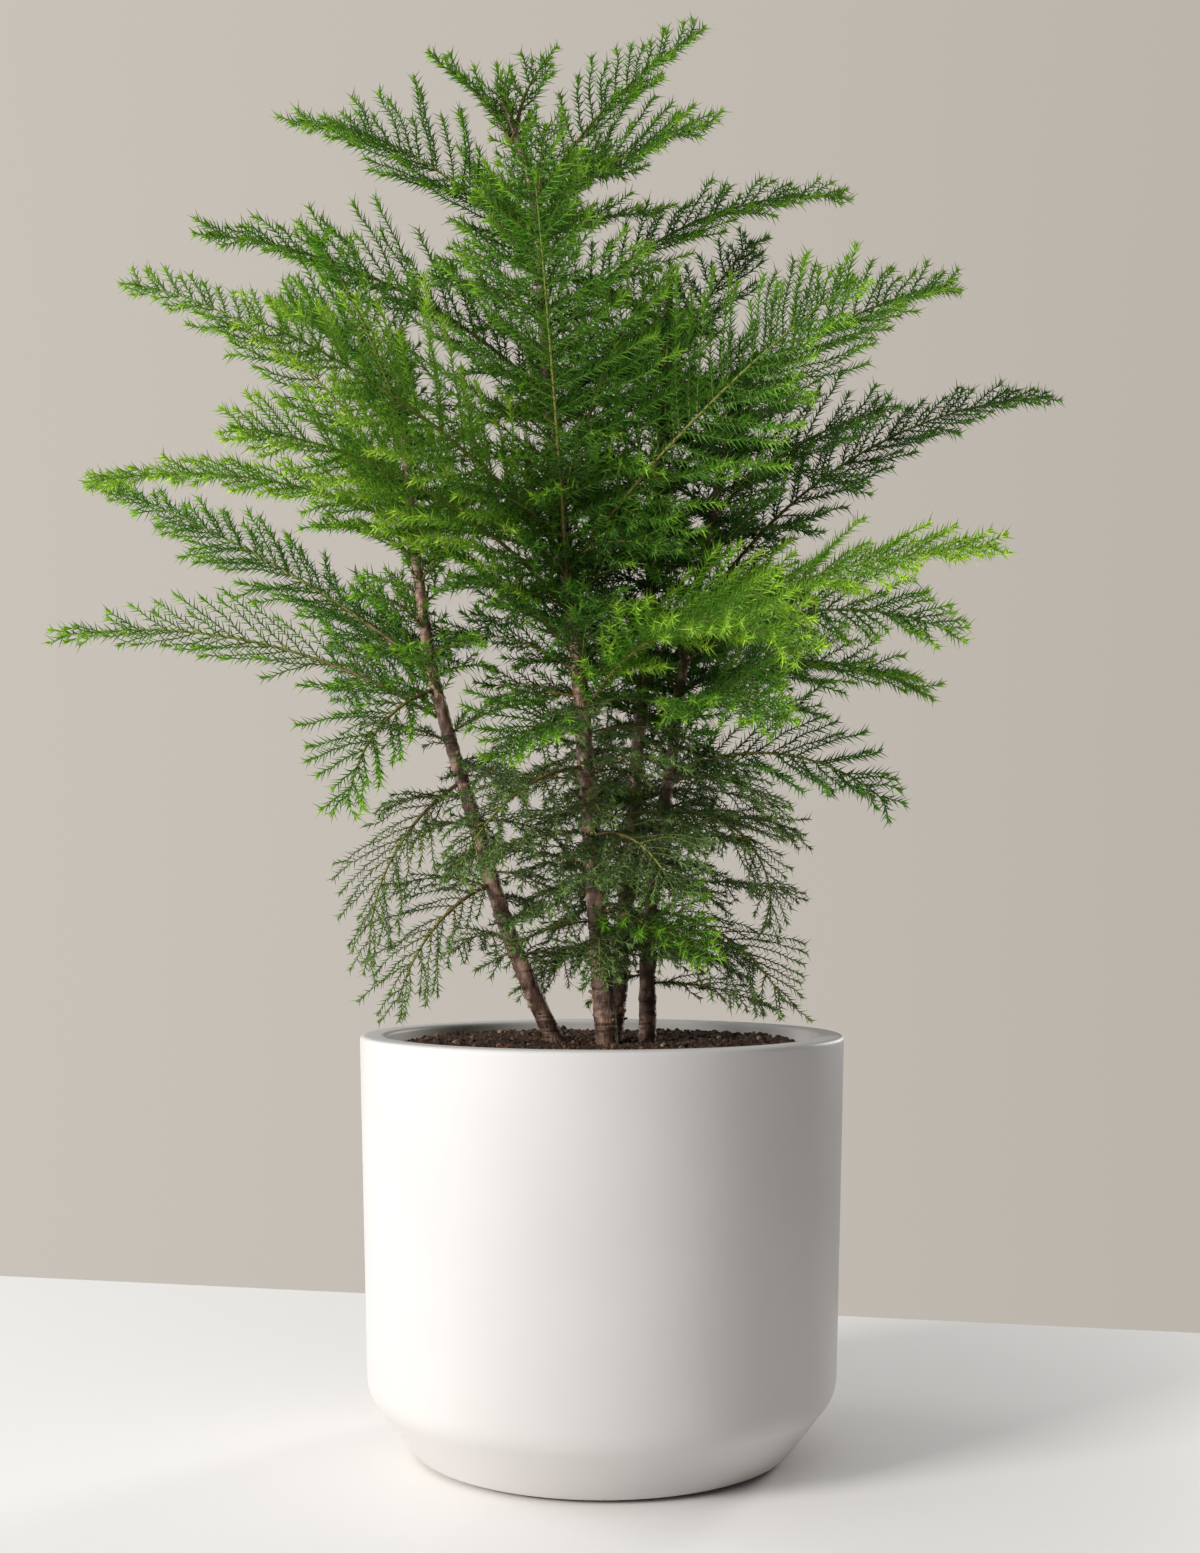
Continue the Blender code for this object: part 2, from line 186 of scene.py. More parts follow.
def calculate(operation, a, b):
    wire = a if isinstance(a, Wire) else b
    if not is_wide(a) and not is_wide(b):
        return wire.node("ShaderNodeMath", {"operation": operation}, {0: a, 1: b})
    if operation == "MULTIPLY" and not (is_wide(a) and is_wide(b)):
        wide, factor = (a, b) if is_wide(a) else (b, a)
        return wire.node("ShaderNodeVectorMath", {"operation": "SCALE"}, {0: wide, "Scale": factor})
    return wire.node("ShaderNodeVectorMath", {"operation": operation}, {0: a, 1: b})


def set_stops(ramp, stops):
    """Gives a colour ramp its stops, as (position, colour)."""
    while len(ramp.elements) < len(stops):
        ramp.elements.new(1.0)
    for element, (position, colour) in zip(ramp.elements, stops):
        element.position = position
        element.color = (*colour, 1.0)


def clamped(wire):
    return wire.node("ShaderNodeClamp", {}, {"Value": wire})


def sine(wire):
    return wire.node("ShaderNodeMath", {"operation": "SINE"}, {0: wire})


def cosine(wire):
    return wire.node("ShaderNodeMath", {"operation": "COSINE"}, {0: wire})


def parts_of(wire):
    """A vector's X, Y and Z."""
    return wire.node("ShaderNodeSeparateXYZ", {}, {0: wire})


def mixed(factor, a, b):
    """One colour over another."""
    return factor.node("ShaderNodeMix", {"data_type": "RGBA"}, {0: factor, 6: a, 7: b})


def new_finish(name, constants):
    """A material, a start for its nodes, and its shader with the constant sockets set."""
    material = bpy.data.materials.new(name)
    material.use_nodes = True
    shader = material.node_tree.nodes["Principled BSDF"]
    for socket, value in constants.items():
        shader.inputs[socket].default_value = value
    return material, Wire(material.node_tree), shader


print("wires ready")

# %% [markdown]
# ## Floor, backdrop and light
#
# A pale table top and a warm grey surround keep the eye on the tree. The surround's wall has painted shade:
# it is lighter on the left and darker on the right. The key light is one large soft panel to the front left,
# so that the round planter turns slowly from white to grey. A weaker panel keeps its left edge white, one
# behind on the right lifts its far edge, and the surround fills from overhead.

# %% Floor and surround
FLOOR_EDGE = ((-3.0, 1.0093), (3.0, -0.3186))  # the table's far edge, from left to right
FLOOR_FRONT = -3.2
FLOOR_THICKNESS = 0.03
FLOOR_COLOUR = (0.92, 0.90, 0.875, 1)
# The wall's two colours are painted light and shade: lit on the left, shaded on the right.
WALL_LIT_LEFT = (0.590, 0.543, 0.490, 1)
WALL_SHADED_RIGHT = (0.500, 0.458, 0.408, 1)
FILL_COLOUR = (0.97, 0.985, 1.0, 1)
FILL_LOW = 0.02  # the fill's strength from the horizon
FILL_HIGH = 1.2  # and what overhead adds to it
FILL_UP = 0.95  # how far the fill leans up
FILL_LEFT = 0.3  # and to the left
# How far the painted shade on the wall reaches:
WALL_SHADE_TURN = 1.6  # how quickly the wall darkens from left to right


def add_floor():
    """A table top whose far edge runs slightly askew, as a thin slab with its top at zero."""
    (left, left_back), (right, right_back) = FLOOR_EDGE
    outline = [(left, FLOOR_FRONT), (right, FLOOR_FRONT), (right, right_back), (left, left_back)]
    shape = bmesh.new()
    top = [shape.verts.new((x, y, 0)) for x, y in outline]
    low = [shape.verts.new((x, y, -FLOOR_THICKNESS)) for x, y in outline]
    shape.faces.new(top)
    shape.faces.new(low[::-1])
    for i in range(4):
        shape.faces.new([top[i], low[i], low[(i + 1) % 4], top[(i + 1) % 4]])
    floor = new_object("floor", as_mesh(shape, "floor"))
    floor.data.materials.append(new_finish("table_top", {"Base Color": FLOOR_COLOUR, "Roughness": 0.6})[0])
    floor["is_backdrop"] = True
    return floor


def add_surround():
    """A warm grey wall to look at, with painted shade that darkens it to the right, and a soft fill from overhead.
    """
    world = bpy.data.worlds.new("surround")
    world.use_nodes = True
    start = Wire(world.node_tree)
    towards = parts_of(start.node("ShaderNodeTexCoord")["Generated"])
    # Painted shade: the wall that the camera sees darkens from left to right.
    wall = mixed(clamped(0.5 + towards["X"] * WALL_SHADE_TURN), WALL_LIT_LEFT, WALL_SHADED_RIGHT)
    high = clamped(towards["Z"] * FILL_UP - towards["X"] * FILL_LEFT)
    overhead = FILL_LOW + high * high * high * FILL_HIGH
    seen = start.node("ShaderNodeBackground", {}, {"Color": wall, "Strength": 1.0})
    fill = start.node("ShaderNodeBackground", {}, {"Color": FILL_COLOUR, "Strength": overhead})
    looked_at = start.node("ShaderNodeLightPath")["Is Camera Ray"]
    both = start.node("ShaderNodeMixShader", {}, {0: looked_at, 1: fill, 2: seen})
    feed(both, world.node_tree.nodes["World Output"].inputs["Surface"])
    bpy.context.scene.world = world
    bpy.context.scene.view_settings.view_transform = "Standard"


add_surround()
print("floor corners:", len(add_floor().data.vertices))

# %% Lights
LOOK_AT = Vector((0, 0, 0.25))
PANELS = {  # each panel's place, side, power and colour
    "key_panel": ((-2.3, -1.6, 1.15), 0.9, 76, (1.0, 0.985, 0.965)),
    "left_panel": ((-2.2, 0.9, 0.8), 0.8, 11, (1.0, 0.985, 0.965)),
    "edge_panel": ((1.45, 1.75, 0.7), 0.5, 20, (1.0, 0.97, 0.94)),
}


def add_panel(name, place, size, power, colour):
    """A square light panel that faces the tree."""
    panel = new_object(name, bpy.data.lights.new(name, "AREA"))
    panel.data.size = size
    panel.data.energy = power
    panel.data.color = colour
    panel.location = place
    panel.rotation_euler = (LOOK_AT - Vector(place)).to_track_quat("-Z", "Y").to_euler()


for name, setting in PANELS.items():
    add_panel(name, *setting)
print("panels:", list(PANELS))

# %% [markdown]
# ## Finishes
#
# A finish starts from the Principled shader. What is the same all over is set straight on its sockets,
# and only what changes over the surface is a wire. Patterns read Object coordinates, which are metres
# here, so a scale of 100 makes grains of about a centimetre.


# %% Helpers for finishes
def object_place(start):
    return start.node("ShaderNodeTexCoord")["Object"]


def noise(place, scale, detail=2.0, roughness=0.5):
    sockets = {"Vector": place, "Scale": scale, "Detail": detail, "Roughness": roughness}
    return place.node("ShaderNodeTexNoise", {}, sockets)


def ramp(value, stops):
    return value.node("ShaderNodeValToRGB", {"stops": stops}, {"Fac": value})


def bump(height, strength, distance):
    sockets = {"Height": height, "Strength": strength, "Distance": distance}
    return height.node("ShaderNodeBump", {}, sockets)


def show(shader, colour, roughness, relief):
    """Feeds what changes over the surface."""
    feed(colour, shader.inputs["Base Color"])
    feed(roughness, shader.inputs["Roughness"])
    feed(relief, shader.inputs["Normal"])


def speckled(name, scale, stops, roughness, depth, metallic=0.0):
    """A finish of one fine noise that sets the colour, the gloss and a shallow relief."""
    material, start, shader = new_finish(name, {"Metallic": metallic})
    grain = noise(object_place(start), scale, 4.0, 0.6)
    show(shader, ramp(grain, stops), roughness + (grain - 0.5) * 0.2, bump(grain, 0.5, depth))
    return material


def give(node, material):
    """Puts a finish in a CAD node's material slots."""
    for entry in frame["nodes"][node].material_slots:
        entry.material = material


def add_piece(name, mesh, body, node=None, smooth=True):
    """A finished piece that rides on a body. Where it stands for a CAD node, that node is hidden."""
    mesh.name = name
    if smooth:
        mesh.shade_smooth()
    piece = new_object(name, mesh)
    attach(piece, body)
    if node:
        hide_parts(node)
    print(name, "has", len(mesh.polygons), "faces")


print("helpers ready")

# %% [markdown]
# ## Planter
#
# The pot is slip-cast stoneware under a matte off-white glaze: a straight, slightly tapered wall, a soft
# crease low down and a chamfered foot. A turned profile is the natural way to make it. The outline below
# has only the corners a potter would draw, and each corner is rounded by a short curve before it is spun.

# %% Turning a rounded outline
TURN_STEPS = 160
CORNER_STEPS = 6


def rounded(outline):
    """The outline, given as (radius, height, corner), with each corner replaced by a short curve."""
    points = [Vector((radius, height)) for radius, height, _ in outline]
    smooth = [points[0]]
    for i in range(1, len(outline) - 1):
        corner = outline[i][2]
        before = (points[i - 1] - points[i]).normalized() * corner
        after = (points[i + 1] - points[i]).normalized() * corner
        for step in range(CORNER_STEPS + 1):
            t = step / CORNER_STEPS
            smooth.append(points[i] + before * (1 - t) ** 2 + after * t**2)
    smooth.append(points[-1])
    return smooth


def turned(outline, material):
    """A closed solid, turned about Z from an outline that starts and ends on the axis."""
    shape = bmesh.new()
    profile = [shape.verts.new((radius, 0, height)) for radius, height in rounded(outline)]
    edges = [shape.edges.new(pair) for pair in zip(profile, profile[1:])]
    turn = {"cent": (0, 0, 0), "axis": (0, 0, 1), "angle": math.tau, "steps": TURN_STEPS}
    bmesh.ops.spin(shape, geom=profile + edges, use_merge=False, **turn)
    bmesh.ops.remove_doubles(shape, verts=shape.verts, dist=1e-6)
    bmesh.ops.dissolve_degenerate(shape, edges=shape.edges, dist=1e-7)
    bmesh.ops.recalc_face_normals(shape, faces=shape.faces)
    mesh = as_mesh(shape, "turned")
    mesh.materials.append(material)
    return mesh


print("a turned outline has", TURN_STEPS, "steps")

# %% Planter's glaze and shape
WALL = 0.0135
FLOOR = 0.014
CREASE_HEIGHT = 0.032
CREASE_INSET = 0.004  # how much narrower the crease is than the rim
FOOT_INSET = 0.0285  # and the foot
GLAZE_STOPS = [(0.3, (0.665, 0.638, 0.624)), (0.7, (0.705, 0.682, 0.668))]


def glaze():
    """Matte off-white glaze: faint clouds of warmer and cooler white, and a fine orange-peel skin."""
    material, start, shader = new_finish("planter_glaze", {"Specular IOR Level": 0.35})
    place = object_place(start)
    clouds = noise(place, 9.0, 3.0)
    peel = noise(place, 700.0, 2.0)
    show(shader, ramp(clouds, GLAZE_STOPS), 0.5 + (clouds - 0.5) * 0.16, bump(peel, 0.12, 0.0002))
    return material


def planter_outline():
    low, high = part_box("planter")
    rim, crease, foot = high.x, high.x - CREASE_INSET, high.x - FOOT_INSET
    crease_top = low.z + CREASE_HEIGHT
    return [
        (0, low.z, 0),
        (foot, low.z, 0.003),
        (crease, crease_top, 0.007),
        (rim, high.z, 0.003),
        (rim - WALL, high.z, 0.0025),
        (crease - WALL, crease_top + WALL / 2, 0.008),
        (foot - WALL / 2, low.z + FLOOR, 0.006),
        (0, low.z + FLOOR, 0),
    ]


add_piece("planter_body", turned(planter_outline(), glaze()), "planter", "planter")

# %% [markdown]
# ## Felt, liner, ballast, foam and wires
#
# These hide in the planter or under it, and show when the insert is lifted out. The liner is a thin
# moulded pot, so it is turned again, with a lip. The others keep their CAD shapes and get a finish each.

# %% Liner pot
LINER_WALL = 0.002
LINER_LIP = 0.0055
LINER_LIP_DEPTH = 0.006
LINER_TAPER = 0.0143  # how much narrower the foot is than the wall under the lip


def liner_outline():
    low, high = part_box("liner_pot")
    lip, top = high.x, high.x - LINER_LIP
    foot = top - LINER_TAPER
    return [
        (0, low.z, 0),
        (foot, low.z, 0.004),
        (top, high.z - LINER_LIP_DEPTH, 0.0008),
        (lip, high.z - LINER_LIP_DEPTH, 0.0008),
        (lip, high.z, 0.0008),
        (top - LINER_WALL, high.z, 0.0008),
        (foot - LINER_WALL, low.z + LINER_WALL, 0.003),
        (0, low.z + LINER_WALL, 0),
    ]


def moulded_plastic():
    """Black moulded plastic with faint flow marks and a satin skin."""
    dark = [(0.3, (0.010, 0.010, 0.011)), (0.8, (0.022, 0.021, 0.020))]
    return speckled("liner_plastic", 60, dark, 0.45, 0.0002)


add_piece("liner", turned(liner_outline(), moulded_plastic()), "insert", "liner_pot")


# %% Finishes of the hidden CAD parts
def steel():
    """Drawn wire: bright, with faint streaks."""
    streaks = [(0.3, (0.42, 0.42, 0.43)), (0.7, (0.60, 0.60, 0.61))]
    return speckled("drawn_wire", 400, streaks, 0.32, 0.00005, metallic=1.0)


felt_stops = [(0.3, (0.045, 0.040, 0.036)), (0.7, (0.12, 0.11, 0.10))]
cement_stops = [(0.3, (0.24, 0.225, 0.205)), (0.55, (0.36, 0.34, 0.31)), (0.8, (0.46, 0.44, 0.41))]
foam_stops = [(0.3, (0.045, 0.085, 0.035)), (0.7, (0.13, 0.21, 0.10))]
give("felt_pad", speckled("felt", 900, felt_stops, 0.95, 0.0006))
give("ballast", speckled("cement", 180, cement_stops, 0.88, 0.0012))
give("foam_block", speckled("dry_foam", 1200, foam_stops, 0.9, 0.0005))
wire_finish = steel()
STEM_NAMES = [node[5:] for node in frame["nodes"] if node.startswith("stem_")]
for stem in STEM_NAMES:
    give("wire_" + stem, wire_finish)
print("stems:", STEM_NAMES)

# %% [markdown]
# ## Geometry Nodes recipes
#
# What repeats on this tree, such as crumbs, bark rings, twigs and needles, is grown by Geometry Nodes.
# A recipe is a tree of nodes with named inputs. It runs once for each piece, and the result becomes a
# plain mesh, so nothing is left live on the finished object.


# %% Making and running a recipe
HELPERS = "side reach place forward hand root run youth chance along across round stray".split()
SOCKET_KINDS = {int: "NodeSocketInt", float: "NodeSocketFloat", type(None): "NodeSocketMaterial"}


def new_recipe(name, inputs):
    """An empty recipe with the named inputs, where None is a material. Gives it, a start and its inputs."""
    recipe = bpy.data.node_groups.new(name, "GeometryNodeTree")
    recipe.interface.new_socket("Geometry", in_out="INPUT", socket_type="NodeSocketGeometry")
    for label, value in inputs.items():
        kind = SOCKET_KINDS[type(value)]
        entry = recipe.interface.new_socket(label, in_out="INPUT", socket_type=kind)
        if value is not None:
            entry.default_value = value
    recipe.interface.new_socket("Geometry", in_out="OUTPUT", socket_type="NodeSocketGeometry")
    start = Wire(recipe)
    return recipe, start, start.node("NodeGroupInput")


def end_recipe(shape, finish_input):
    """The last nodes of each recipe: real meshes with their finish."""
    shape = shape.node("GeometryNodeRealizeInstances", {}, {"Geometry": shape})
    shape = shape.node("GeometryNodeSetMaterial", {}, {"Geometry": shape, "Material": finish_input})
    output = shape.tree.nodes.new("NodeGroupOutput")
    feed(shape, output.inputs["Geometry"])


def run_recipe(recipe, mesh, values):
    """Runs a recipe on a mesh. Gives a plain mesh without its helper attributes."""
    base = new_object("base", mesh)
    modifier = base.modifiers.new("recipe", "NODES")
    modifier.node_group = recipe
    for entry in recipe.interface.items_tree:
        if entry.in_out == "INPUT" and entry.name in values:
            modifier[entry.identifier] = values[entry.name]
    result = bpy.data.meshes.new_from_object(base.evaluated_get(bpy.context.evaluated_depsgraph_get()))
    bpy.data.objects.remove(base)
    for name in [a.name for a in result.attributes if a.name in HELPERS]:
        result.attributes.remove(result.attributes[name])
    return result


def store(shape, name, value, kind="FLOAT", domain="POINT"):
    settings = {"data_type": kind, "domain": domain}
    sockets = {"Geometry": shape, "Name": name, "Value": value}
    return shape.node("GeometryNodeStoreNamedAttribute", settings, sockets)


def stored(start, name, kind="FLOAT"):
    return start.node("GeometryNodeInputNamedAttribute", {"data_type": kind}, {"Name": name})


def chance(start, seed, low=0.0, high=1.0):
    """A random number for each element."""
    return start.node("FunctionNodeRandomValue", {}, {2: low, 3: high, "Seed": seed})


def joined(*shapes):
    join = shapes[0].tree.nodes.new("GeometryNodeJoinGeometry")
    for shape in shapes:
        feed(shape, join.inputs["Geometry"])
    return Wire(shapes[0].tree, join.outputs["Geometry"])


def vector(start, x, y, z):
    return start.node("ShaderNodeCombineXYZ", {}, {"X": x, "Y": y, "Z": z})


def crossed(a, b):
    """The direction square to two others."""
    return a.node("ShaderNodeVectorMath", {"operation": "CROSS_PRODUCT"}, {0: a, 1: b})


def moved(shape, offset):
    return shape.node("GeometryNodeSetPosition", {}, {"Geometry": shape, "Offset": offset})


def wander(place, scale):
    """A direction that changes smoothly from place to place."""
    return place.node("ShaderNodeTexNoise", {}, {"Vector": place, "Scale": scale})["Color"] - (0.5, 0.5, 0.5)


def copies(points, shape, rotation, scale):
    """A copy of a shape at each point."""
    sockets = {"Points": points, "Instance": shape, "Rotation": rotation, "Scale": scale}
    return points.node("GeometryNodeInstanceOnPoints", {}, sockets)


print("recipes ready")

# %% [markdown]
# ## Soil
#
# The topping is a moulded disc with crumbs of soil bonded to it in a low heap. A fine round grid is raised
# and lowered by noise, and a few thousand irregular crumbs of many sizes are scattered over it. Each crumb
# keeps a random number as an attribute, which the material turns into its own brown.

# %% Soil finish
def soil_finish():
    """Dark damp brown; some crumbs are reddish bark, and a few are pale."""
    material, start, shader = new_finish("soil", {"Specular IOR Level": 0.3})
    shade = start.node("ShaderNodeAttribute", {"attribute_name": "crumb"})["Fac"]
    grain = noise(object_place(start), 900.0, 3.0)
    browns = [
        (0.0, (0.020, 0.011, 0.007)),
        (0.45, (0.055, 0.030, 0.018)),
        (0.75, (0.10, 0.052, 0.030)),
        (0.93, (0.17, 0.075, 0.040)),
        (0.98, (0.30, 0.20, 0.13)),
    ]
    colour = ramp(shade, browns) * (0.6 + grain * 0.8)
    show(shader, colour, 0.75 + grain * 0.2, bump(grain, 0.6, 0.0006))
    return material


SOIL_FINISH = soil_finish()
print("soil finish nodes:", len(SOIL_FINISH.node_tree.nodes))

# %% Soil disc and its crumbs
CRUMB_DENSITY = 90000.0  # crumbs for each square metre
CRUMB_RADIUS = 0.0021
CRUMB_DENTS = 0.0016
HILLS = 0.006
RIPPLES = 0.0015
SOIL_RINGS = 44
SOIL_SPOKES = 150
SOIL_HEAP = 0.0060  # how far loose crumbs stand above the CAD disc
HEAP_EDGE = 0.9  # the share of the radius where the heap starts to slope down


def soil_bed():
    """A closed disc with an even grid on top, as wide and deep as the CAD disc."""
    low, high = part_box("soil_disc")
    shape = bmesh.new()
    middle = shape.verts.new((0, 0, high.z + SOIL_HEAP))
    turns = [math.tau * i / SOIL_SPOKES for i in range(SOIL_SPOKES)]
    rings = []
    for ring in range(1, SOIL_RINGS + 1):
        radius = high.x * ring / SOIL_RINGS
        slope = max(0.0, ring / SOIL_RINGS - HEAP_EDGE) / (1 - HEAP_EDGE)
        height = middle.co.z - slope * slope * SOIL_HEAP
        ring_points = [(radius * math.cos(a), radius * math.sin(a), height) for a in turns]
        rings.append([shape.verts.new(point) for point in ring_points])
    rings.append([shape.verts.new((v.co.x, v.co.y, low.z)) for v in rings[-1]])
    under = shape.verts.new((0, 0, low.z))
    for i in range(SOIL_SPOKES):
        after = (i + 1) % SOIL_SPOKES
        shape.faces.new([middle, rings[0][i], rings[0][after]])
        for inner, outer in zip(rings, rings[1:]):
            shape.faces.new([inner[i], outer[i], outer[after], inner[after]])
        shape.faces.new([under, rings[-1][after], rings[-1][i]])
    return as_mesh(shape, "soil_bed")


def soil_recipe():
    inputs = {"Density": CRUMB_DENSITY, "Crumb Radius": CRUMB_RADIUS, "Seed": 3, "Finish": None}
    recipe, start, given = new_recipe("soil_crumbs", inputs)
    place = start.node("GeometryNodeInputPosition")
    upward = parts_of(start.node("GeometryNodeInputNormal"))["Z"] > 0.5
    hills = (noise(place, 45.0, 3.0) - 0.5) * HILLS + (noise(place, 400.0, 2.0) - 0.5) * RIPPLES
    bed = store(given["Geometry"], "crumb", 0.25 + noise(place, 500.0, 2.0) * 0.4)
    bed = moved(bed, vector(start, 0, 0, hills * upward))
    scatter = {"Mesh": bed, "Selection": upward, "Density": given["Density"], "Seed": given["Seed"]}
    points = start.node("GeometryNodeDistributePointsOnFaces", {}, scatter)
    ball = start.node("GeometryNodeMeshIcoSphere", {}, {"Radius": 1.0, "Subdivisions": 1})
    size = given["Crumb Radius"] * (0.22 + chance(start, 11) ** 3.0)
    any_way = {0: (0, 0, 0), 1: (6, 6, 6)}
    turn = start.node("FunctionNodeRandomValue", {"data_type": "FLOAT_VECTOR"}, any_way)
    flat = vector(start, size, size * chance(start, 12, 0.6, 1.0), size * chance(start, 13, 0.5, 0.9))
    rotation = start.node("FunctionNodeEulerToRotation", {}, {0: turn})
    crumbs = copies(points, ball, rotation, flat)
    crumbs = store(crumbs, "crumb", chance(start, 14), domain="INSTANCE")
    crumbs = start.node("GeometryNodeRealizeInstances", {}, {"Geometry": crumbs})
    crumbs = moved(crumbs, wander(place, 600.0) * CRUMB_DENTS)
    end_recipe(joined(bed, crumbs), given["Finish"])
    return recipe


soil_mesh = run_recipe(soil_recipe(), soil_bed(), {"Finish": SOIL_FINISH})
add_piece("soil_topping", soil_mesh, "insert", "soil_disc", smooth=False)

# %% [markdown]
# ## Stems
#
# Each stem is a moulded sleeve of bark: pinkish tan, with darker rings and small scars where twigs once
# grew. Its middle line and taper come from the CAD stem. A tube along that line is swollen at rings and
# roughened by noise, and short stubs stand round it.


# %% Middle lines from the CAD stems
def corner_points(node, weld=2e-5):
    """A CAD node's corner points, each once, from a merged copy of its loose triangles."""
    shape = bmesh.new()
    shape.from_mesh(frame["nodes"][node].data)
    bmesh.ops.remove_doubles(shape, verts=shape.verts, dist=weld)
    points = [v.co.copy() for v in shape.verts]
    shape.free()
    return points


def average(points):
    return sum(points, Vector()) / len(points)


def stem_line(stem, ring_gap=0.004):
    """Middle points of a stem's rings from the lowest up, with the bark's radius at each."""
    rings = []
    for point in sorted(corner_points("stem_" + stem), key=lambda p: p.z):
        if not rings or point.z - rings[-1][-1].z > ring_gap:
            rings.append([])
        rings[-1].append(point)
    middles = [average(ring) for ring in rings]
    radii = [max((p - middle).length for p in ring) for ring, middle in zip(rings, middles)]
    return middles, radii


def lines_mesh(lines):
    """A mesh of lines of points that carry named values; a line is its points and its values."""
    points, edges, columns = [], [], {}
    for line_points, values in lines:
        first = len(points)
        points += line_points
        edges += [(first + i, first + i + 1) for i in range(len(line_points) - 1)]
        for name, numbers in values.items():
            columns.setdefault(name, []).extend(numbers)
    mesh = bpy.data.meshes.new("lines")
    mesh.from_pydata(points, edges, [])
    for name, numbers in columns.items():
        wide = isinstance(numbers[0], Vector)
        attribute = mesh.attributes.new(name, "FLOAT_VECTOR" if wide else "FLOAT", "POINT")
        flat = [c for number in numbers for c in number] if wide else numbers
        attribute.data.foreach_set("vector" if wide else "value", flat)
    return mesh


STEM_LINES = {stem: stem_line(stem) for stem in STEM_NAMES}
SOIL_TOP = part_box("soil_disc")[1].z
for stem, (middles, radii) in STEM_LINES.items():
    print(stem, len(middles), "rings, radius", round(max(radii), 4), "to", round(radii[-1], 4))

# %% Bark finish
TAN_STOPS = [(0.34, (0.075, 0.036, 0.024)), (0.5, (0.200, 0.108, 0.072)), (0.64, (0.52, 0.325, 0.240))]
RING_BROWN = (0.065, 0.030, 0.020, 1.0)


def bark_finish():
    """Pinkish tan bark with darker rings, grey-brown patches and a slight gloss."""
    material, start, shader = new_finish("bark", {"Specular IOR Level": 0.5})
    place = object_place(start)
    patches = noise(place * (1.0, 1.0, 0.55), 190.0, 4.0)
    fibres = noise(place * (1.0, 1.0, 0.25), 900.0, 3.0)
    bands = noise(place * (0.15, 0.15, 1.0), 320.0, 2.0)
    rings = clamped((bands - 0.56) * 9.0)
    colour = mixed(rings * 0.75, ramp(patches, TAN_STOPS), RING_BROWN) * (0.55 + fibres * 0.9)
    show(shader, colour, 0.36 + patches * 0.22, bump(fibres + rings * 0.8 + patches, 0.7, 0.0009))
    return material


BARK = bark_finish()
print("bark nodes:", len(BARK.node_tree.nodes))


# %% Bark recipe
BARK_SHARE = 0.86  # the bark's radius between its knots, as a share of the CAD sleeve's
BARK_SIDES = 18
BARK_STEP = 0.0011  # between the sleeve's rings of points
RING_RELIEF = 0.0007
BARK_RELIEF = 0.0019
THIN_RING = 0.0021  # thinner CAD rings are left out, apart from the tip


def tube(line, radius, sides):
    """A closed tube along a line, with its turn round the line stored as a share."""
    circle = line.node("GeometryNodeCurvePrimitiveCircle", {"mode": "RADIUS"}, {"Resolution": sides})
    circle = store(circle, "round", line.node("GeometryNodeSplineParameter"))
    sockets = {"Curve": line, "Profile Curve": circle, "Scale": radius, "Fill Caps": True}
    return line.node("GeometryNodeCurveToMesh", {}, sockets)


def smooth_line(mesh, step):
    """A smooth curve through a mesh's points, with a point every step."""
    line = mesh.node("GeometryNodeMeshToCurve", {}, {"Mesh": mesh})
    line = line.node("GeometryNodeCurveSplineType", {"spline_type": "CATMULL_ROM"}, {"Curve": line})
    return line.node("GeometryNodeResampleCurve", {"mode": "LENGTH"}, {"Curve": line, "Length": step})


def points_on(line, spacing):
    """Points along a line. The spacing is their Length apart or their Count."""
    mode = "COUNT" if "Count" in spacing else "LENGTH"
    return line.node("GeometryNodeCurveToPoints", {"mode": mode}, {"Curve": line, **spacing})


def outward_from(forward, across, turn):
    """The direction square to a line at a turn round it."""
    return across * cosine(turn) + crossed(forward, across) * sine(turn)


def bark_recipe():
    """A tube with rings and knots, and the stubs of lost twigs."""
    inputs = {"Seed": 0, "Stub Gap": 0.0075, "Finish": None}
    recipe, start, given = new_recipe("bark_sleeve", inputs)
    line = smooth_line(given["Geometry"], BARK_STEP)
    place = start.node("GeometryNodeInputPosition")
    normal = start.node("GeometryNodeInputNormal")
    shift = given["Seed"] * 0.37
    swell = noise(vector(start, shift, 0, parts_of(place)["Z"]), 260.0, 1.0)
    sleeve = tube(line, stored(start, "reach") * BARK_SHARE, BARK_SIDES)
    rough = (noise(place, 420.0, 3.0) - 0.5) * BARK_RELIEF
    relief = clamped((swell - 0.55) * 6.0) * RING_RELIEF + rough
    sleeve = moved(sleeve, normal * relief)
    along = points_on(line, {"Length": given["Stub Gap"]})
    forward, across = along["Tangent"], along["Normal"]
    turn = chance(start, given["Seed"], 0.0, math.tau)
    outward = outward_from(forward, across, turn)
    stub_radius = chance(start, given["Seed"] + 5, 0.0007, 0.0015)
    stub_length = stored(start, "reach") + chance(start, given["Seed"] + 6, 0.0002, 0.0016)
    aim = {"Vector": outward + forward * 0.5}
    rotation = start.node("FunctionNodeAlignRotationToVector", {"axis": "Z"}, aim)
    sockets = {"Vertices": 6, "Radius Top": 0.55, "Radius Bottom": 1.3, "Depth": 1.0}
    peg = start.node("GeometryNodeMeshCone", {"fill_type": "NGON"}, sockets)
    stubs = copies(along, peg, rotation, vector(start, stub_radius, stub_radius, stub_length))
    end_recipe(joined(sleeve, stubs), given["Finish"])
    return recipe


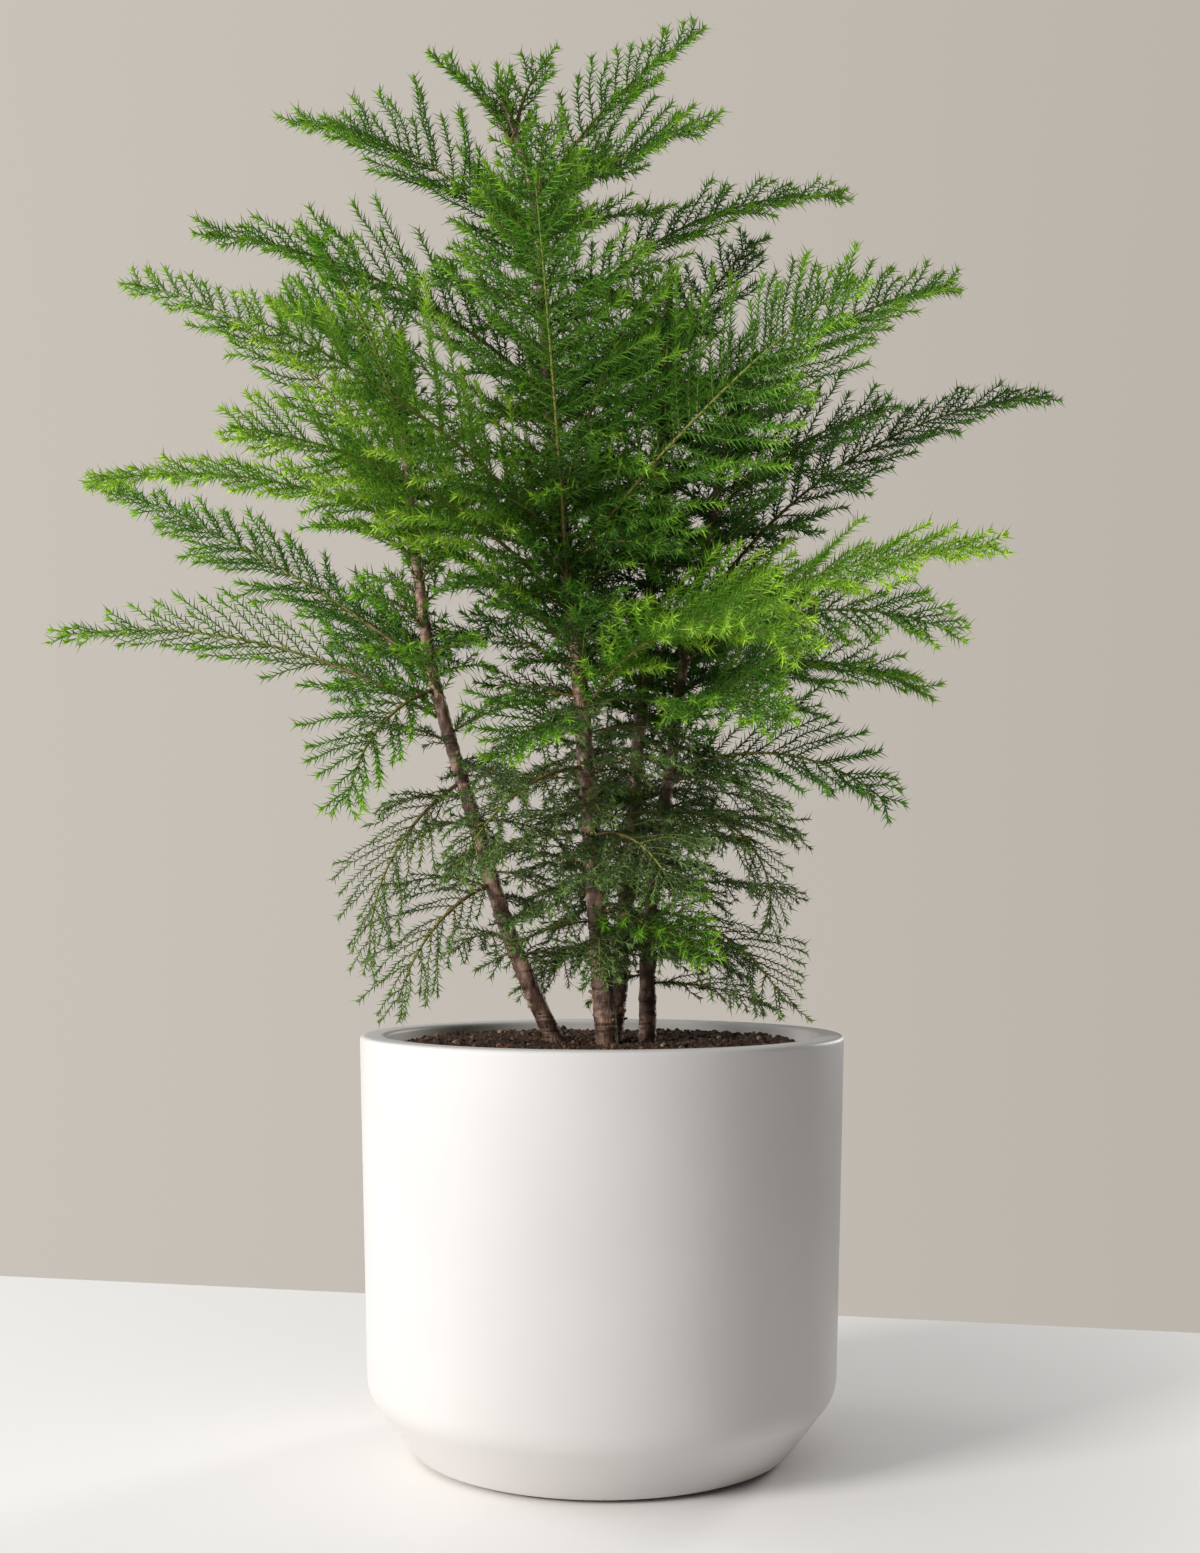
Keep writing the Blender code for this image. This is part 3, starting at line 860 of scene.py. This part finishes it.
bark_sleeves = bark_recipe()
for number, stem in enumerate(STEM_NAMES):
    middles, radii = STEM_LINES[stem]
    kept = [(m, r) for m, r in zip(middles, radii) if r > THIN_RING or m == middles[-1]]
    line = lines_mesh([([m for m, r in kept], {"reach": [r for m, r in kept]})])
    bark_mesh = run_recipe(bark_sleeves, line, {"Seed": number, "Finish": BARK})
    add_piece("bark_" + stem, bark_mesh, "insert", "stem_" + stem)

# %% [markdown]
# ## Needle finishes
#
# A needle is too small for a pattern of its own, but its age shows: dark green low down and inside, bright
# yellow-green at the tips. Each spray carries a UV map whose first number is youth and whose second is a
# random share for each needle, and the material reads only that. A strip at the top of the map is kept for
# the woody parts, from brown to green.

# %% Needle colours
WOOD_FROM = 0.84  # the map's strip for wood starts here
WOOD_TO = 0.96
NEEDLE_COLOURS = {
    "fresh": ((0.052, 0.145, 0.015), (0.155, 0.370, 0.026), (0.450, 0.690, 0.060)),
    "mid": ((0.036, 0.112, 0.014), (0.100, 0.275, 0.022), (0.335, 0.590, 0.045)),
    "deep": ((0.023, 0.072, 0.011), (0.055, 0.167, 0.018), (0.180, 0.370, 0.032)),
    "olive": ((0.054, 0.092, 0.033), (0.110, 0.190, 0.055), (0.250, 0.375, 0.090)),
}
WOOD_STOPS = [(0.0, (0.15, 0.075, 0.038)), (0.3, (0.24, 0.20, 0.050)), (0.9, (0.16, 0.27, 0.036))]


def needle_finish(colour):
    old, grown, young = NEEDLE_COLOURS[colour]
    constants = {"Roughness": 0.5, "Specular IOR Level": 0.28}
    material, start, shader = new_finish("foliage_" + colour, constants)
    spot = parts_of(start.node("ShaderNodeUVMap", {"uv_map": "OFBake"}))
    youth, share = spot["X"], spot["Y"]
    green = ramp(youth, [(0.05, old), (0.45, grown), (0.95, young)]) * (0.65 + share * 0.8)
    feed(mixed(share > WOOD_FROM, green, ramp(youth, WOOD_STOPS)), shader.inputs["Base Color"])
    return material


NEEDLE_FINISHES = {colour: needle_finish(colour) for colour in NEEDLE_COLOURS}
print("needle finishes:", sorted(NEEDLE_FINISHES))

# %% [markdown]
# ## Sprays of needles
#
# A spray is a wired rachis with twigs on both sides, and needles all round each of them. Growing it from
# three rules keeps it close to the plant: twigs leave in pairs and bend forward, needles turn by the golden
# angle from one to the next and lean towards the tip, and the youngest needles crowd at the ends.

# %% Needles along a line
GOLDEN_TURN = math.pi * (3 - math.sqrt(5))


def needles_along(line, given, spacing, lean, long, seed):
    """Needles on a line, at a lean from it; long is their length as a share of a full needle's."""
    points = points_on(line, spacing)
    forward, across = points["Tangent"], points["Normal"]
    index = line.node("GeometryNodeInputIndex")
    seed = given["Seed"] + seed
    turn = index * GOLDEN_TURN + chance(line, seed, 0.0, 0.9)
    tilt = lean * chance(line, seed + 1, 0.75, 1.25)
    aim = forward * cosine(tilt) + outward_from(forward, across, turn) * sine(tilt)
    rotation = line.node("FunctionNodeAlignRotationToVector", {"axis": "Z"}, {"Vector": aim})
    length = given["Needle Length"] * long * chance(line, seed + 2, 0.75, 1.12)
    size = vector(line, given["Needle Width"], given["Needle Width"], length)
    sockets = {"Vertices": 3, "Radius Top": 0.0, "Radius Bottom": 0.5, "Depth": 1.0}
    needle = line.node("GeometryNodeMeshCone", {"fill_type": "NGON"}, sockets)
    parts = parts_of(line.node("GeometryNodeInputPosition"))
    needle = store(store(needle, "along", parts["Z"]), "across", parts["X"])
    needles = copies(points, needle, rotation, size)
    return store(needles, "chance", chance(line, seed + 3), domain="INSTANCE")


def trimmed(line, first, last):
    """The part of each line between two shares of its length."""
    sockets = {"Curve": line, "Start": first, "End": last}
    return line.node("GeometryNodeTrimCurve", {"mode": "FACTOR"}, sockets)


def mapped(shape, across_map, up_map):
    """Writes the colour map's two numbers on a realised shape."""
    place = vector(shape, across_map, up_map, 0.0)
    return store(shape, "OFBake", place, "FLOAT2", "CORNER")


print("golden turn:", round(math.degrees(GOLDEN_TURN), 2), "degrees")

# %% Twigs on a rachis
TWIG_POINTS = 9
SWAY = 0.011  # how far a twig's end strays
SWAY_SCALE = 60.0


def twigs_on(rachis, given):
    """Twigs in pairs along a rachis, as curves that bend forward."""
    roots = points_on(trimmed(rachis, given["Bare Share"], 0.975), {"Length": given["Twig Gap"]})
    roots = store(roots, "forward", roots["Tangent"], "FLOAT_VECTOR")
    twice = {"Geometry": roots, "Amount": 2}
    pairs = rachis.node("GeometryNodeDuplicateElements", {"domain": "POINT"}, twice)
    pairs = store(pairs, "hand", pairs["Duplicate Index"] * 2.0 - 1.0)
    forward = stored(rachis, "forward", "FLOAT_VECTOR")
    slip = (chance(rachis, given["Seed"] + 1) - 0.5) * given["Twig Gap"] * 0.9
    pairs = moved(pairs, forward * slip)
    place = rachis.node("GeometryNodeInputPosition")
    pairs = store(pairs, "root", place, "FLOAT_VECTOR")
    pairs = store(pairs, "chance", chance(rachis, given["Seed"] + 2, -1.0, 1.0))
    pairs = store(pairs, "stray", chance(rachis, given["Seed"] + 3, -1.0, 1.0))
    line = rachis.node("GeometryNodeCurvePrimitiveLine", {}, {"Start": (0, 0, 0), "End": (1, 0, 0)})
    line = rachis.node("GeometryNodeResampleCurve", {}, {"Curve": line, "Count": TWIG_POINTS})
    twigs = rachis.node("GeometryNodeInstanceOnPoints", {}, {"Points": pairs, "Instance": line})
    twigs = rachis.node("GeometryNodeRealizeInstances", {}, {"Geometry": twigs})
    run = rachis.node("GeometryNodeSplineParameter")
    twigs = store(twigs, "run", run)
    hand, age = stored(rachis, "hand"), stored(rachis, "place")
    luck, stray = stored(rachis, "chance"), stored(rachis, "stray")
    flat = stored(rachis, "side", "FLOAT_VECTOR")
    upward = crossed(forward, flat)
    opening = given["Twig Angle"] * (1.12 - age * 0.4) + luck * given["Tangle"]
    length = stored(rachis, "reach") * given["Twig Length"] * (1.0 + stray * 0.24)
    lift = given["Lift"] + (stray - luck) * given["Tangle"]
    outward = forward * cosine(opening) + flat * hand * sine(opening) + upward * lift
    curl = forward * given["Curl"] + upward * given["Rise"] - (0.0, 0.0, 1.0) * given["Droop"]
    shape = (outward * run + curl * run * run) * length
    grown = {"Geometry": twigs, "Position": stored(rachis, "root", "FLOAT_VECTOR") + shape}
    twigs = rachis.node("GeometryNodeSetPosition", {}, grown)
    return moved(twigs, wander(place, SWAY_SCALE) * run * SWAY)


print("a twig has", TWIG_POINTS, "points")

# %% Spray recipe
SPRAY_INPUTS = {
    "Seed": 0,
    "Twig Gap": 0.0075,
    "Twig Angle": 0.92,
    "Twig Length": 1.12,
    "Bare Share": 0.05,
    "Tangle": 0.15,
    "Lift": 0.1,
    "Rise": 0.1,
    "Curl": 0.25,
    "Droop": 0.0,
    "Needle Gap": 0.00055,
    "Needle Length": 0.0068,
    "Needle Width": 0.00092,
    "Lean": 0.84,
    "Youth": 0.2,
    "Rachis Radius": 0.00115,
    "Finish": None,
}
TUFT_FROM = 0.86  # the share of a twig where its young tuft starts
TUFT_NEEDLES = 13
CROWN_FROM = 0.97  # and the same for the rachis
CROWN_NEEDLES = 30
YOUNG_LEAN = 0.55  # young needles point forward
STALK_RADIUS = 0.00042
STALK_TAPER = 0.0002


def spray_recipe():
    """Needles on a rachis, its twigs and their young ends, and the wood that carries them."""
    recipe, start, given = new_recipe("spray", SPRAY_INPUTS)
    rachis = smooth_line(given["Geometry"], 0.004)
    age, run = stored(start, "place"), stored(start, "run")
    twigs = twigs_on(rachis, given)
    base_youth = given["Youth"] + age * age * 0.25
    twigs = store(twigs, "youth", base_youth + run * run * run * 0.55)
    rachis = store(rachis, "youth", base_youth)
    every, lean = given["Needle Gap"], given["Lean"]
    on_twigs = needles_along(twigs, given, {"Length": every}, lean, 1.0, 10)
    on_rachis = needles_along(rachis, given, {"Length": every * 1.3}, lean * 1.1, 0.85, 20)
    ends = store(trimmed(twigs, TUFT_FROM, 1.0), "youth", base_youth + 0.5)
    tufts = needles_along(ends, given, {"Count": TUFT_NEEDLES}, lean * YOUNG_LEAN, 0.5, 30)
    tip = store(trimmed(rachis, CROWN_FROM, 1.0), "youth", base_youth + 0.45)
    crown = needles_along(tip, given, {"Count": CROWN_NEEDLES}, lean * YOUNG_LEAN, 0.6, 40)
    needles = joined(on_twigs, on_rachis, tufts, crown)
    needles = start.node("GeometryNodeRealizeInstances", {}, {"Geometry": needles})
    youth = clamped(stored(start, "youth") * 0.85 + stored(start, "along") * 0.12)
    share = 0.02 + stored(start, "chance") * (WOOD_FROM - 0.08) + stored(start, "across") * 0.03
    needles = mapped(needles, youth, clamped(share))
    around = WOOD_FROM + 0.02 + stored(start, "round") * (WOOD_TO - WOOD_FROM)
    core = tube(rachis, given["Rachis Radius"] * (1.0 - age * 0.68), 6)
    core = mapped(core, age * 0.8, around)
    stalks = tube(twigs, STALK_RADIUS - run * STALK_TAPER, 3)
    stalks = mapped(stalks, clamped(0.25 + age * 0.3 + run * 0.45), around)
    end_recipe(joined(needles, core, stalks), given["Finish"])
    return recipe


SPRAYS = spray_recipe()
print("spray recipe nodes:", len(SPRAYS.nodes))

# %% Reading a CAD blade
BLADE_SHARE = 0.2  # the CAD blade's width as a share of the spray's
RINGS_OF = 4  # corners in each of the blade's rings
ROOT_REACH = 0.0024  # how far the rachis goes back to its stem's bark
FULL_FROM = 0.35  # the place along the rachis where the spray is widest
BASE_FULLNESS = 0.55  # its width at the stem, as a share of the widest
TIP_SHARPNESS = 1.4  # above 1, the spray narrows faster than the CAD blade
FRONT = Vector((0, -1, 0))
# How far some sprays are turned towards the front from their CAD blade's plane:
FACING = {"centre_08": 0.5, "centre_10": 0.7, "centre_11": 0.7, "centre_12": 0.5}


def blade_rings(node):
    """The blade's rings from its hinge out, as (middle, half of its wide diagonal)."""
    hinge = HINGES[node]
    corners = sorted(corner_points(node), key=lambda p: (p - hinge).length)
    rings = []
    for i in range(0, len(corners), RINGS_OF):
        ring = corners[i:i + RINGS_OF]
        pairs = [(a - b) / 2 for a in ring for b in ring]
        rings.append((average(ring), max(pairs, key=lambda half: half.length)))
    return rings


def faced(side, along, share):
    """A side turned about the rachis, by a share of the way, so that the spray faces the front."""
    level = along.cross(FRONT).normalized()
    if level.dot(side) < 0:
        level = -level
    return side.lerp(level, share).normalized()


def spray_line(node):
    """The rachis and, at each point, the side that twigs grow to, their reach, and its place."""
    rings = blade_rings(node)
    middles = [middle for middle, half in rings]
    halves = [half.copy() for middle, half in rings]
    for before, after in zip(halves, halves[1:]):
        if before.dot(after) < 0:
            after.negate()
    along = middles[-1] - middles[0]
    if along.cross(halves[len(halves) // 2]).z < 0:
        halves = [-half for half in halves]
    sides = [faced(half.normalized(), along, FACING.get(node[6:], 0.0)) for half in halves]
    places = [i / (len(rings) - 1) for i in range(len(rings))]
    widest = max(half.length for half in halves) / BLADE_SHARE
    reaches = [widest * (half.length / BLADE_SHARE / widest) ** TIP_SHARPNESS for half in halves]
    for i, place in enumerate(places):
        if place < FULL_FROM:
            reaches[i] = widest * (BASE_FULLNESS + (1 - BASE_FULLNESS) * place / FULL_FROM)
    root = middles[0] + (middles[0] - middles[1]).normalized() * ROOT_REACH
    values = {"side": [sides[0], *sides], "reach": [reaches[0], *reaches], "place": [0.0, *places]}
    return [root, *middles], values


print("rings on the first blade:", len(blade_rings(sorted(HINGES)[0])))

# %% Growing every spray
HABITS = {
    "fresh": {"Twig Gap": 0.0068, "Youth": 0.42, "Needle Gap": 0.00064, "Rise": 0.15},
    "mid": {"Twig Gap": 0.0072, "Youth": 0.26, "Needle Gap": 0.00074, "Rise": 0.08},
    "deep": {"Twig Gap": 0.0076, "Youth": 0.16, "Needle Gap": 0.00078, "Rise": 0.05},
    "olive": {
        "Twig Gap": 0.0066, "Twig Length": 1.2, "Youth": 0.14, "Tangle": 0.24, "Droop": 0.3, "Lift": 0.0,
        "Needle Gap": 0.0009, "Needle Length": 0.0050, "Needle Width": 0.00078,
    },
}
OWN_HABITS = {  # what sets single sprays apart
    "centre_01": {"Youth": 0.08},
    "centre_09": {"Twig Angle": 1.2, "Twig Length": 1.35, "Curl": 0.12, "Twig Gap": 0.0066},
    "centre_10": {"Twig Angle": 1.0, "Twig Length": 1.15, "Curl": 0.2, "Twig Gap": 0.0070},
    "centre_11": {"Twig Gap": 0.0082, "Twig Length": 1.0},
    "left_03": {
        "Twig Angle": 0.66, "Twig Gap": 0.0095, "Twig Length": 0.85, "Lift": 0.0, "Needle Gap": 0.0011,
    },
    "left_05": {"Twig Angle": 0.75, "Twig Length": 0.85, "Lift": 0.0, "Droop": 0.15},
    "left_08": {"Twig Gap": 0.0084, "Twig Length": 0.85, "Youth": 0.4},
    "left_09": {"Twig Gap": 0.0084},
    "centre_05": {"Youth": 0.3, "Needle Gap": 0.00075},
    "centre_06": {"Twig Length": 0.9, "Droop": 0.2},
    "centre_07": {"Twig Angle": 0.75, "Twig Length": 0.62, "Lift": 0.0, "Droop": 0.1},
    "centre_14": {"Twig Length": 0.95},
    "centre_15": {"Twig Angle": 0.8, "Twig Length": 0.8, "Lift": 0.0},
    "right_07": {"Twig Length": 0.95, "Droop": 0.15},
    "right_08": {"Twig Angle": 0.72, "Twig Length": 0.85, "Lift": 0.0},
}


def grow_spray(node, number):
    colour = SLOTS[node][8:]
    own = OWN_HABITS.get(node[6:], {})
    values = {"Seed": 100 * number, "Finish": NEEDLE_FINISHES[colour], **HABITS[colour], **own}
    mesh = run_recipe(SPRAYS, lines_mesh([spray_line(node)]), values)
    add_piece("spray" + node[5:], mesh, node, node, smooth=False)


for number, node in enumerate(sorted(HINGES)):
    grow_spray(node, number)

# %% [markdown]
# ## Sprigs on the stems
#
# Between the long sprays the stems carry many short, soft sprigs, which hide the bark higher up. They grow
# by the same recipe. Their lines are thrown round each stem by the golden angle, with dice whose seed is
# fixed, and all the sprigs of one stem and one colour are one piece that stays with the insert.

# %% Sprig lines
SPRIG_POINTS = 6
SPRIG_WIDTH = 0.3  # a sprig's reach as a share of its length
LEADER_REACH = 0.011
LEADER_POINTS = 5


def along_stem(stem, share):
    """The point at a share of a stem's height above the soil, and the direction there."""
    middles = [m for m in STEM_LINES[stem][0] if m.z >= SOIL_TOP - 0.002]
    height = middles[0].z + share * (middles[-1].z - middles[0].z)
    for lower, upper in zip(middles, middles[1:]):
        if height <= upper.z:
            break
    t = (height - lower.z) / (upper.z - lower.z)
    return lower.lerp(upper, min(t, 1.0)), (upper - lower).normalized()


def sprig_line(base, heading, rise, bend, long, reach, roll):
    """A short rachis from a point. Heading and roll are in radians, and rise and bend in degrees."""
    level = Vector((math.cos(heading), math.sin(heading), 0))
    across = Vector((0, 0, 1)).cross(level)
    points, sides = [], []
    point = base.copy()
    for i in range(SPRIG_POINTS):
        pitch = math.radians(rise - bend * i / (SPRIG_POINTS - 1))
        forward = level * math.cos(pitch) + Vector((0, 0, math.sin(pitch)))
        points.append(point.copy())
        sides.append((across * math.cos(roll) + forward.cross(across) * math.sin(roll)).normalized())
        point += forward * long / (SPRIG_POINTS - 1)
    places = [i / (SPRIG_POINTS - 1) for i in range(SPRIG_POINTS)]
    reaches = [reach * (0.6 + 0.4 * min(t * 3, 1) - 0.6 * t) for t in places]
    return points, {"side": sides, "reach": reaches, "place": places}


def sprigs(stem, low, high, count, long, rise, dice):
    """Sprigs round a stem between two shares of its height."""
    lines = []
    for i in range(count):
        share = low + (high - low) * (i + dice.random()) / count
        base = along_stem(stem, share)[0]
        heading = i * GOLDEN_TURN + dice.uniform(-0.4, 0.4)
        size = long * dice.uniform(0.6, 1.1)
        bend = dice.uniform(25, 60)
        roll = dice.uniform(-0.5, 0.5)
        pitch = rise + dice.uniform(-12, 12)
        lines.append(sprig_line(base, heading, pitch, bend, size, size * SPRIG_WIDTH, roll))
    return lines


def leader(stem):
    """The stem's own tip, twice, so that it carries twigs on four sides."""
    base = along_stem(stem, 0.9)[0]
    tip, direction = along_stem(stem, 1.0)
    places = [i / (LEADER_POINTS - 1) for i in range(LEADER_POINTS)]
    points = [base.lerp(tip + direction * 0.006, place) for place in places]
    reaches = [LEADER_REACH] * LEADER_POINTS
    lines = []
    for side in (Vector((1, 0, 0)), Vector((0, 1, 0))):
        sides = [side.cross(direction).normalized()] * LEADER_POINTS
        lines.append((points, {"side": sides, "reach": reaches, "place": places}))
    return lines


print("top of the centre stem:", tuple(round(c, 3) for c in along_stem("centre", 1.0)[0]))

# %% Growing the sprigs
SPRIG_BANDS = [
    # stem, colour, from, to, count, length, rise
    ("left", "olive", 0.12, 0.45, 13, 0.065, 10),
    ("left", "mid", 0.45, 0.96, 24, 0.055, 35),
    ("centre", "olive", 0.09, 0.38, 26, 0.072, 10),
    ("centre", "deep", 0.36, 0.56, 24, 0.075, 25),
    ("centre", "mid", 0.52, 0.91, 40, 0.064, 32),
    ("rear", "olive", 0.12, 0.44, 20, 0.072, 10),
    ("rear", "deep", 0.42, 0.97, 34, 0.072, 30),
    ("right", "olive", 0.10, 0.44, 20, 0.068, 5),
    ("right", "deep", 0.42, 0.97, 34, 0.070, 30),
]

SPRIG_HABITS = {"Needle Gap": 0.00095, "Rachis Radius": 0.0008}
for number, (stem, colour, low, high, count, long, rise) in enumerate(SPRIG_BANDS):
    lines = sprigs(stem, low, high, count, long, rise, random.Random(number))
    if high > 0.9:
        lines += leader(stem)
    fixed = {"Seed": 7000 + 100 * number, "Finish": NEEDLE_FINISHES[colour]}
    values = {**fixed, **HABITS[colour], **SPRIG_HABITS}
    mesh = run_recipe(SPRAYS, lines_mesh(lines), values)
    add_piece(f"sprigs_{stem}_{colour}", mesh, "insert", smooth=False)

# %% [markdown]
# ## Size
#
# The needles may stand a little proud of the CAD solids. The size of all that is shown is printed.

# %% Bounding box
low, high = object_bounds()
print("visual size:", tuple(round(c, 3) for c in high - low))
